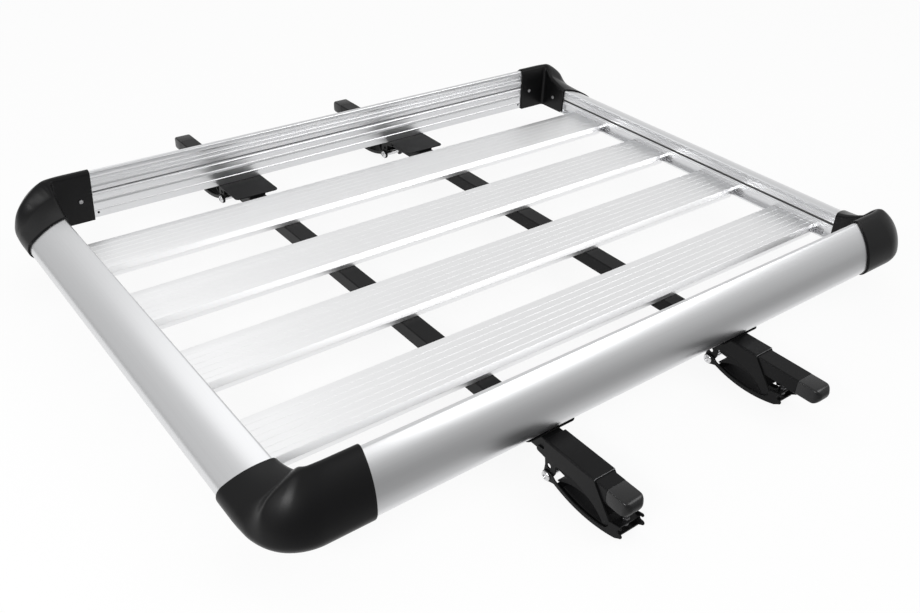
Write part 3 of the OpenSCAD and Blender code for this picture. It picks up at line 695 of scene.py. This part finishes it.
def makeRowTree():
    tree, given, result = addTree("slatRow", {"Length": "Float", "Pitch": "Float", "Count": "Int"})
    way = addNode(tree, "ShaderNodeCombineXYZ", {}, {"X": given.outputs["Length"]})
    bar = addNode(tree, "GeometryNodeExtrudeMesh", {"mode": "FACES"},
                  {"Mesh": given, "Offset": way, "Offset Scale": 1.0, "Individual": False})
    end = addNode(tree, "GeometryNodeFlipFaces", {}, {"Mesh": given})
    both = addNode(tree, "GeometryNodeJoinGeometry", {}, {})
    join(tree, bar, both.inputs[0])
    join(tree, end, both.inputs[0])
    whole = addNode(tree, "GeometryNodeMergeByDistance", {}, {"Geometry": both, "Distance": 1e-6})
    pitch = addNode(tree, "ShaderNodeCombineXYZ", {}, {"Y": given.outputs["Pitch"]})
    places = addNode(tree, "GeometryNodeMeshLine", {"mode": "OFFSET"},
                     {"Count": given.outputs["Count"], "Offset": pitch})
    row = addNode(tree, "GeometryNodeInstanceOnPoints", {}, {"Points": places, "Instance": whole})
    return endTree(tree, row, given, result)


def makeSetTree():
    tree, given, result = addTree("partOnPoints", {"Part": "Object", "Size": "Float"})
    part = addNode(tree, "GeometryNodeObjectInfo", {}, {"Object": given.outputs["Part"]})
    facing = addNode(tree, "GeometryNodeInputNamedAttribute", {"data_type": "FLOAT_VECTOR"},
                     {"Name": "facing"})
    turn = addNode(tree, "FunctionNodeAlignRotationToVector", {"axis": "Z"}, {"Vector": facing})
    row = addNode(tree, "GeometryNodeInstanceOnPoints", {},
                  {"Points": given, "Instance": part.outputs["Geometry"], "Rotation": turn,
                   "Scale": given.outputs["Size"]})
    return endTree(tree, row, given, result)


rowTree, setTree = makeRowTree(), makeSetTree()


def runTree(mesh, tree, values):
    # evaluates the tree on a mesh and gives the plain result back
    piece = addObject("maker", mesh)
    maker = piece.modifiers.new("maker", "NODES")
    maker.node_group = tree
    keys = {item.name: item.identifier for item in tree.interface.items_tree if item.in_out == "INPUT"}
    for label, value in values.items():
        maker[keys[label]] = value
    done = evaluated(piece)
    bpy.data.objects.remove(piece)
    return done


def partsOnPoints(name, part, finishName, body, seats):
    # part is drawn in millimetres with its axis along Z; seats are (point, facing)
    template = addObject(name + "Part", meshFrom(part, name + "Part"))
    points = bpy.data.meshes.new(name + "Points")
    points.from_pydata([tuple(Vector(p) * mm) for p, way in seats], [], [])
    facing = points.attributes.new("facing", "FLOAT_VECTOR", "POINT")
    for i, (p, way) in enumerate(seats):
        facing.data[i].vector = way
    mesh = runTree(points, setTree, {"Part": template, "Size": 1.0, "Material": finish[finishName]})
    bpy.data.objects.remove(template)
    form = bmesh.new()
    form.from_mesh(mesh)
    giveLook(form, 0)
    finishPiece(name, form, [finishName], body, inMm=False)


slat = {"width": 92.6, "height": 14.8, "endHeight": 8.7, "top": 2.0, "bevelWidth": 6.0, "bevelHeight": 8.0,
        "pitch": 175.9, "count": 4, "grooves": 6, "groovePitch": 12.5, "grooveWidth": 1.3,
        "grooveDepth": 0.28}


def slatSection(deep):
    w, t = slat["width"] / 2, slat["top"]
    # the last two corners only steer the fillets and are dropped
    line = rounded([(-w, -deep, 0), (-w, -slat["bevelHeight"], 1.2), (-w + slat["bevelWidth"], 0, 1.2),
                    (0, 0, 0), (0, -deep, 0)], 12)[:-2]
    half, cleft = slat["grooveWidth"] / 2, slat["grooveDepth"]
    for i in range(slat["grooves"]):
        y = (i - (slat["grooves"] - 1) / 2) * slat["groovePitch"]
        line += [(y - half, 0), (y - half * 0.6, -cleft * 0.75), (y, -cleft),
                 (y + half * 0.6, -cleft * 0.75), (y + half, 0)]
    line += arc((w - 1.2, -1.2), 1.2, 90, 0, 5)
    line += [(w, -deep + 0.4), (w - 0.4, -deep), (w - t, -deep), (w - t, -t)]
    rib, foot = slat["width"] / 6, -slat["endHeight"] + 1
    for y in (rib, -rib):
        line += [(y + 1, -t), (y + 1, foot), (y - 1, foot), (y - 1, -t)]
    line += [(-w + slat["bevelWidth"] + 1, -t), (-w + t, -slat["bevelHeight"]), (-w + t, -deep)]
    return [Vector(p) for p in line]


def slatRow(deep, start, length):
    section = slatSection(deep)
    y = middle - (slat["count"] - 1) / 2 * slat["pitch"]
    mesh = bpy.data.meshes.new("section")
    mesh.from_pydata([(start * mm, (y + p.x) * mm, (basket["slatTop"] + p.y) * mm) for p in section], [],
                     [list(range(len(section)))])
    return runTree(mesh, rowTree, {"Length": length * mm, "Pitch": slat["pitch"] * mm, "Count": slat["count"],
                                   "Material": finish["slat"]})


form = bmesh.new()
halfSpan = halfLong - lowRail["flange"] - 1
for deep, start, length in ((slat["height"], -halfSpan, 2 * halfSpan),
                            (slat["endHeight"], -halfLong - 3, lowRail["flange"] + 4),
                            (slat["endHeight"], halfSpan, lowRail["flange"] + 4)):
    form.from_mesh(slatRow(deep, start, length))
giveLook(form, 0)
finishPiece("slats", form, ["slat"], "rack", ["slat_1", "slat_2", "slat_3", "slat_4"], sharp=20, weigh=False,
            inMm=False)
print("slats", slat["count"])

angle = {"reach": 16.0, "sheet": 1.8, "height": 6.7, "corner": 0.5, "edge": 0.3}
form = bmesh.new()
for side in (-1, 1):
    for i in range(slat["count"]):
        y = middle + (i - (slat["count"] - 1) / 2) * slat["pitch"] - slat["width"] / 2
        for leg in (box(0, -angle["sheet"], angle["reach"], 0, angle["corner"]),
                    box(0, -angle["reach"], angle["sheet"], -angle["sheet"] / 2, angle["corner"])):
            plate(form, leg, [], angle["height"], angle["edge"],
                  lambda u, v, w: Vector((side * (halfLong + lowRail["recessDepth"] - u), y + v,
                                          base + lowRail["seat"] + w)))
finishPiece("slat_angles", form, ["screw"], "rack")

screw = {"head": 3.5, "rise": 1.9, "socket": 1.9, "steps": 30, "x": 45.5, "z": 37.1, "y": 37.0, "lowZ": 24.5}


def screwHead():
    # pan head with a round socket, on a shallow seat
    r, h, s = screw["head"], screw["rise"], screw["socket"]
    dome = [(0, h * 0.25), (s * 0.7, h * 0.28), (s, h * 0.45), (s, h), (s + 0.3, h + 0.12)]
    dome += [(r - 0.9 + 0.9 * sine(t), h - 0.7 + 0.8 * cosine(t)) for t in (0, 30, 60, 90)]
    dome += [(r, 0), (r - 0.2, -0.6), (0, -0.6)]
    return lathe(bmesh.new(), dome, screw["steps"], lambda a, b, w: Vector((a, b, w)))


seats = []
for corner, (sx, sy) in corners.items():
    seats.append((atCorner(corner, (screw["x"], elbow["inside"], screw["z"])), (0, -sy, 0)))
    seats.append((atCorner(corner, (elbow["inside"], screw["y"], screw["lowZ"])), (-sx, 0, 0)))
partsOnPoints("corner_screws", screwHead(), "screw", "rack", seats)
print("screws", len(seats))


bar = {"left": -205.0, "right": 167.0, "width": 32.0, "height": 23.0, "top": 62.5, "wall": 1.5,
       "half": 635.95, "cap": 36.0, "nose": 11.0, "side": 9.0, "corner": 2.2, "hollowCorner": 1.0,
       "capCorner": 2.6, "tipCorner": 5.5, "tipLength": 13.0, "noseLength": 14, "straight": 16}


def capRing(d):
    # rounded section of the cap at the distance d behind its tip
    def shrink(radius):
        return radius - math.sqrt(max(0.0, radius * radius - max(0.0, radius - d) ** 2))
    halfWide = bar["width"] / 2 - shrink(bar["side"])
    halfHigh = bar["height"] / 2 - shrink(bar["nose"])
    more = bar["tipCorner"] * (1 - min(1.0, d / bar["tipLength"])) ** 2
    corner = min(bar["capCorner"] + more, halfWide, halfHigh) - 0.01
    return halfWide, halfHigh, max(0.3, corner)


def softSection(halfWide, halfHigh, corner):
    return [p for cx, cy, start in ((1, 1, 0), (-1, 1, 90), (-1, -1, 180), (1, -1, 270))
            for p in arc((cx * (halfWide - corner), cy * (halfHigh - corner)), corner, start, start + 90, 6)]


def makeCap(form, x, way):
    core = bar["top"] - bar["height"] / 2
    seam = bar["half"] - bar["cap"]
    wide, high = bar["width"] / 2, bar["height"] / 2
    start = ((2.0, -2.0), (0.6, 0.0), (0.17, 0.17), (0.0, 0.6), (0.0, bar["cap"] - bar["straight"]))
    rings = [(softSection(wide - less, high - less, bar["capCorner"] - less), y) for less, y in start]
    for t in range(0, 91, 6):
        d = bar["noseLength"] * (1 - sine(t)) + 0.02
        rings.append((softSection(*capRing(d)), bar["cap"] - d))
    loft(form, [[Vector((x + p.x, way * (seam + y), core + p.y)) for p in ring] for ring, y in rings])


for name, x in (("crossbar_left", bar["left"]), ("crossbar_right", bar["right"])):
    form = bmesh.new()
    half = bar["half"] - bar["cap"]
    outer = centredBox(bar["width"], bar["height"], bar["corner"])
    inner = centredBox(bar["width"] - 2 * bar["wall"], bar["height"] - 2 * bar["wall"], bar["hollowCorner"])
    plate(form, outer, [inner], 2 * half, 0.3,
          lambda u, v, w: Vector((x + u, w - half, bar["top"] - bar["height"] / 2 + v)))
    finishPiece(name, form, ["coat"], "rack")
print("bars", 2)


mountPlate = {"length": 84.0, "width": 104.0, "sheet": 1.6, "out": 35.5, "corner": 7.0, "spacer": 36.0,
              "edge": 0.35, "spacerCorner": 2.0, "spacerEdge": 0.3}
caps, form, blocks = bmesh.new(), bmesh.new(), bmesh.new()
for x in (bar["left"], bar["right"]):
    for way in (-1, 1):
        makeCap(caps, x, way)
        edge = middle + way * (basket["width"] / 2 + mountPlate["out"])
        inner = edge - way * mountPlate["width"]
        far = inner + way * mountPlate["spacer"]
        wide, narrow = mountPlate["length"] / 2, bar["width"] / 2
        plate(form, box(x - wide, min(edge, inner), x + wide, max(edge, inner), mountPlate["corner"]), [],
              mountPlate["sheet"], mountPlate["edge"],
              lambda u, v, w: Vector((u, v, base - mountPlate["sheet"] + w)))
        block = box(x - narrow, min(inner, far), x + narrow, max(inner, far), mountPlate["spacerCorner"])
        plate(blocks, block, [], base - mountPlate["sheet"] - bar["top"], mountPlate["spacerEdge"],
              lambda u, v, w: Vector((u, v, bar["top"] + w)))
finishPiece("bar_caps", caps, ["cap"], "rack", sharp=60, weigh=False)
finishPiece("mount_plates", form, ["coat"], "rack")
finishPiece("spacers", blocks, ["coat"], "rack")


clamp = {"boltZ": 14.5, "sheet": 2.2, "gap": 0.1, "drop": 48.0, "topOut": 76.0, "topIn": 12.0, "ear": 8.0,
         "spare": 15.0, "spareHole": 3.5, "bolt": 4.0, "fold": 2.8, "arch": 91, "front_left": -503.95,
         "front_right": -453.95, "back_left": 417.95, "back_right": 422.95}
strap = {"radius": 175.0, "y": 73.0, "height": 6.4, "length": 132.0, "sheet": 2.0, "liner": 3.0,
         "tieY": 118.0, "tieZ": 7.0, "tie": 6.0, "lobe": 3.4}
bolt = {"head": 7, "rim": 0.1, "dome": 1.1, "rise": 2.9, "nut": 12.4, "nutHeight": 5.0,
        "tieHead": 4.8, "tieNut": 8.8}
bracketHalf = bar["width"] / 2 + clamp["gap"] + clamp["sheet"]
strapIn = bracketHalf + clamp["gap"]
barLow = clamp["drop"] - bar["height"]
strapCentre = (strap["y"], strap["radius"] - clamp["boltZ"])


def circle(y, z, radius, steps=28):
    return arc((y, z), radius, 0, 360 * (steps - 1) / steps, steps - 1)


def bracketWall():
    # side wall seen across the bar, from its inner end round below to the outer tip
    top = clamp["drop"] + clamp["gap"] + clamp["sheet"] - clamp["fold"]
    arm = [(-12, top, 0), (-12, 33.8, 1.5), (-25, 33, 3.9), (-25, 25, 3.9), (-8.4, 22.8, 1.5), (-7, 14, 0)]
    notch = [(8.2, 0.6, 0), (12.2, 9, 4), (12.2, 22.2, 1.5), (22, 24.2, 0)]
    tip = [(97, 0, 0), (98.5, -4, 1.2), (104.5, -1.2, 2.5), (111, 4, 3), (76.3, top, 0)]
    line = rounded(arm) + arc((0, 0), clamp["ear"], 180, 360, 18) + rounded(notch)[1:-1]
    line += arc((34, barLow - clamp["arch"]), clamp["arch"], 99, 46, 22) + rounded(tip)[1:]
    return line, top


def topSection(top):
    # folded top of the bracket, seen along the bar
    w, f, t = bracketHalf, clamp["fold"], clamp["sheet"]
    high = clamp["drop"] + clamp["gap"] + t
    outside = arc((-w + f, top), f, 180, 90, 6) + arc((w - f, top), f, 90, 0, 6)
    inside = [Vector((w - t, top)), Vector((w - t - 0.6, high - t))]
    return outside + inside + [Vector((-p.x, p.y)) for p in inside[::-1]]


def bandArc(radius, y0, y1, steps):
    start = math.degrees(math.asin((y0 - strap["y"]) / radius)) - 90
    stop = math.degrees(math.asin((y1 - strap["y"]) / radius)) - 90
    return arc(strapCentre, radius, start, stop, steps)


def strapWall():
    # side wall of the strap: eye, band, forked far end, and back along the upper edge
    big, small = strap["radius"], strap["radius"] - strap["height"]
    end, lobe = strap["length"] - strap["lobe"], strap["lobe"]
    line = arc((0, 0), clamp["ear"], 90, 270, 16)
    line += [Vector((3, -7.6)), Vector((8, -5.9))] + bandArc(big, 14, 122, 30)
    line += arc((end, 0.4), lobe, -80, 95, 10) + arc((end - 2.2, 6.4), 2.6, 265, 110, 6)
    line += arc((end - 1.6, 11.6), 2.5, -70, 100, 10)
    line += rounded([(119, 12.6, 0), (110.5, 10.4, 2), (109.5, 1, 4), (104, -4.4, 0)])[1:]
    return line + bandArc(small, 101, 15, 26) + [Vector((12, 4.6)), Vector((8.4, 7.2))]


def makeClamp(corner):
    x = bar["left"] if corner.endswith("left") else bar["right"]
    y = clamp[corner]
    way = -1 if y < 0 else 1

    def across(side, start, out=way):
        # draws in the plane of the clamp's side, u outwards; w runs across the bar
        return lambda u, v, w: Vector((x + side * (start + w), y + out * u, clamp["boltZ"] + v))

    wall, top = bracketWall()

    def atFold(p):
        return abs(p.y - top) < 0.01

    holes = [circle(0, clamp["spare"], clamp["spareHole"]), circle(0, 0, clamp["bolt"] + clamp["gap"])]
    form = bmesh.new()
    for side in (-1, 1):
        plate(form, wall, holes, clamp["sheet"], 0.45, across(side, bracketHalf - clamp["sheet"]),
              flat=atFold)
    # the top sheet's end face takes the second material, a painted highlight on the sheet's end
    plate(form, topSection(top), [], clamp["topOut"] + clamp["topIn"], 0.35,
          lambda u, v, w: Vector((x + u, y + way * (w - clamp["topIn"]), clamp["boltZ"] + v)),
          flat=atFold, endMaterial=1)
    finishPiece("bracket_" + corner, form, ["coat", "endHighlight"], "clamp_" + corner)

    form = bmesh.new()
    pad = [Vector(p) for p in ((14, barLow - 0.02), (14, 18.6), (31, 16.4), (15.5, 1.6), (17.5, 0.6))]
    pad += [p for p in arc((58, -52), 66, 128, 54, 26) if p.x > 19.5] + [Vector((90, barLow - 0.02))]
    plate(form, pad, [], bar["width"], 0.5, across(1, -bar["width"] / 2), flat=lambda p: p.y > barLow - 0.1)
    finishPiece("saddle_" + corner, form, ["rubber"], "clamp_" + corner)

    form = bmesh.new()
    ear = strapWall()
    hole = [circle(0, 0, clamp["bolt"] + clamp["gap"])]
    for side in (-1, 1):
        plate(form, ear, hole, strap["sheet"], 0.5, across(side, strapIn))
    inner = strap["radius"] - strap["sheet"]
    low = bandArc(strap["radius"] - 0.05, 16, 124, 30) + bandArc(inner, 124, 16, 30)
    plate(form, low, [], 2 * strapIn + 0.6, 0.02, across(1, -strapIn - 0.3))
    yoke = box(strap["tieY"] - strap["tie"], strap["tieZ"], strap["tieY"] + strap["tie"],
               strap["tieZ"] + strap["sheet"], 0.4)
    plate(form, yoke, [], 2 * strapIn + 0.4, 0.02, across(1, -strapIn - 0.2))
    finishPiece("strap_" + corner, form, ["coat"], "jaw_" + corner)

    form = bmesh.new()
    pad = bandArc(inner - 0.02, 24.5, 110, 30) + bandArc(inner - strap["liner"], 109, 26, 30)
    plate(form, pad, [], bar["width"] - 4, 1.0, across(1, 2 - bar["width"] / 2))
    finishPiece("liner_" + corner, form, ["rubber"], "jaw_" + corner)

    form = bmesh.new()
    r, outer = clamp["bolt"], strapIn + strap["sheet"]
    tail, wide, rim, dome = -2 * outer - 6, bolt["head"], bolt["rim"], bolt["dome"]
    head = [(0, tail), (r - 0.6, tail), (r, tail + 0.6), (r, rim), (wide, rim), (wide, dome)]
    head += [(wide * cosine(t), dome + bolt["rise"] * sine(t)) for t in (12, 26, 40, 54)]
    head += [(2.9, 4.0), (2.6, 3.7), (2.5, 2.2), (0, 2.0)]
    lathe(form, head, 36, across(-1, outer, 1))
    plate(form, hexagon(bolt["nut"]), [circle(0, 0, r - 0.02)], bolt["nutHeight"], 0.5,
          across(1, outer + 0.1, 1))
    lathe(form, [(0, 0.0), (3.98, 0.0), (3.98, 6.0), (3.4, 6.6), (0, 6.6)], 28, across(1, outer - 0.3, 1))
    finishPiece("bolt_" + corner, form, ["bolt"], "clamp_" + corner)

    form = bmesh.new()
    tall, tr = clamp["boltZ"] + strap["tieZ"], strap["tie"] / 2
    nut = strap["tie"] - 1.8
    at = y + way * strap["tieY"]
    end = strap["sheet"] + nut + 3

    def upright(rise):
        return lambda u, v, w: Vector((x + u, at + v, tall + rise + w))

    lathe(form, [(0, -nut), (tr, -nut), (tr, strap["sheet"] + nut + 2.4), (tr - 0.6, end), (0, end)], 24,
          upright(0))
    wide, below = bolt["tieHead"], -nut - 1
    lathe(form, [(0, below), (wide - 0.6, below), (wide, below + 0.6), (wide, -0.7), (wide - 0.6, -0.1),
                 (0, -0.1)], 30, upright(0))
    plate(form, hexagon(bolt["tieNut"]), [circle(0, 0, tr - 0.02, 24)], nut, 0.5,
          upright(strap["sheet"] + 0.1))
    finishPiece("tie_bolt_" + corner, form, ["nut"], "jaw_" + corner)


for corner in corners:
    makeClamp(corner)
print("clamps", len(corners))


cameraView = {"yaw": -39.03, "pitch": 33.05, "roll": 2.77, "place": (-0.89415, -1.13832, 0.85863),
              "focal": 964.95, "width": 920, "sensor": 36.0}


def makeCamera(view):
    yaw, pitch, roll = view["yaw"], view["pitch"], view["roll"]
    away = Vector((sine(yaw) * cosine(pitch), -cosine(yaw) * cosine(pitch), sine(pitch)))
    right = Vector((0, 0, 1)).cross(away).normalized()
    up = away.cross(right)
    side = cosine(roll) * right + sine(roll) * up
    top = -sine(roll) * right + cosine(roll) * up
    data = bpy.data.cameras.new("camera")
    data.sensor_width = view["sensor"]
    data.lens = view["sensor"] * view["focal"] / view["width"]
    data.clip_start, data.clip_end = 0.05, 60
    camera = addObject("camera", data)
    turn = Matrix((side, top, away)).transposed().to_4x4()
    camera.matrix_world = Matrix.Translation(Vector(view["place"])) @ turn
    bpy.context.scene.camera = camera


makeCamera(cameraView)

# the studio is dark before the rack (front), bright behind it (back) and brightens from wall to ceiling
studio = {"ceiling": 0.92, "wall": 0.64, "horizon": (-0.05, 0.75),
          "front": 0.28, "frontWay": (-0.2, -0.96, -0.2), "frontEdge": (0.45, 1.0),
          "back": 1.0, "backWay": (0.53, 0.65, 0.545), "backEdge": (0.55, 0.95),
          "floorHalf": 9.0, "floorWhite": 0.82, "floorGlow": 0.90, "floorFar": 0.30,
          "floorEdge": (-0.74, -0.5)}


def makeWorld():
    world = bpy.data.worlds.new("studio")
    bpy.context.scene.world = world
    graph = Graph(world)
    way = graph.add("ShaderNodeTexCoord", {}, {}, "Generated")
    height = graph.add("ShaderNodeSeparateXYZ", {}, {"Vector": way}, "Z")
    level = graph.spread(height, studio["horizon"], studio["wall"], studio["ceiling"])
    for side in ("back", "front"):
        toward = graph.add("ShaderNodeVectorMath", {"operation": "DOT_PRODUCT"},
                           {0: way, 1: studio[side + "Way"]}, "Value")
        mask = graph.spread(toward, studio[side + "Edge"], 0.0, 1.0)
        level = graph.add("ShaderNodeMix", {"data_type": "FLOAT"}, {0: mask, 2: level, 3: studio[side]})
    lit = graph.add("ShaderNodeBackground", {}, {"Strength": level})
    shown = graph.add("ShaderNodeBackground", {}, {"Color": (1, 1, 1, 1)})
    camera = graph.add("ShaderNodeLightPath", {}, {}, "Is Camera Ray")
    mix = graph.add("ShaderNodeMixShader", {}, {0: camera, 1: lit, 2: shown})
    addNode(graph.tree, "ShaderNodeOutputWorld", {}, {0: mix})


makeWorld()


def softbox(name, place, target, size, power):
    data = bpy.data.lights.new(name, "AREA")
    data.shape = "RECTANGLE"
    data.size, data.size_y = size
    data.energy = power
    lamp = addObject(name, data)
    lamp.location = place
    lamp.rotation_euler = (Vector(target) - Vector(place)).to_track_quat("-Z", "Y").to_euler()


# place, target, size and power
softboxes = {
    "keyBox": ((-0.25, 1.7, 2.3), (0, 0, 0.1), (1.6, 1.4), 5),
    "fillBox": ((-2.4, -0.4, 1.6), (0, 0, 0.1), (1.6, 1.6), 3),
    "stripBox": ((-2.1, -1.3, 1.5), (-0.55, -0.45, 0.1), (1.5, 0.35), 32),
    "sideBox": ((1.75, -1.85, 2.1), (0, 0, 0.1), (1.8, 0.8), 15),
}
for name, values in softboxes.items():
    softbox(name, *values)
print("softboxes", len(softboxes))


def makeFloor():
    data = bpy.data.meshes.new("floor")
    half = studio["floorHalf"]
    data.from_pydata([(-half, -half, 0), (half, -half, 0), (half, half, 0), (-half, half, 0)], [],
                     [(0, 1, 2, 3)])
    floor = addObject("floor", data)
    material = bpy.data.materials.new("paleFloor")
    graph = Graph(material)
    matte = graph.add("ShaderNodeBsdfDiffuse", {}, {"Color": (studio["floorWhite"],) * 3 + (1,)})
    camera = graph.add("ShaderNodeLightPath", {}, {}, "Is Camera Ray")
    glossy = graph.add("ShaderNodeLightPath", {}, {}, "Is Glossy Ray")
    where = graph.add("ShaderNodeNewGeometry", {}, {}, "Position")
    y = graph.add("ShaderNodeSeparateXYZ", {}, {"Vector": where}, "Y")
    # in reflections the floor in front of the rack is darker
    near = graph.spread(y, studio["floorEdge"], 1 - studio["floorFar"], 0.0, "LINEAR")
    glow = graph.add("ShaderNodeEmission", {}, {"Strength": 1.0 - glossy * near})
    seen = graph.add("ShaderNodeMath", {"operation": "MAXIMUM"}, {0: camera, 1: glossy})
    mix = graph.add("ShaderNodeMixShader", {}, {0: seen * studio["floorGlow"], 1: matte, 2: glow})
    addNode(graph.tree, "ShaderNodeOutputMaterial", {}, {0: mix})
    data.materials.append(material)


makeFloor()
bpy.context.scene.view_settings.view_transform = "Standard"
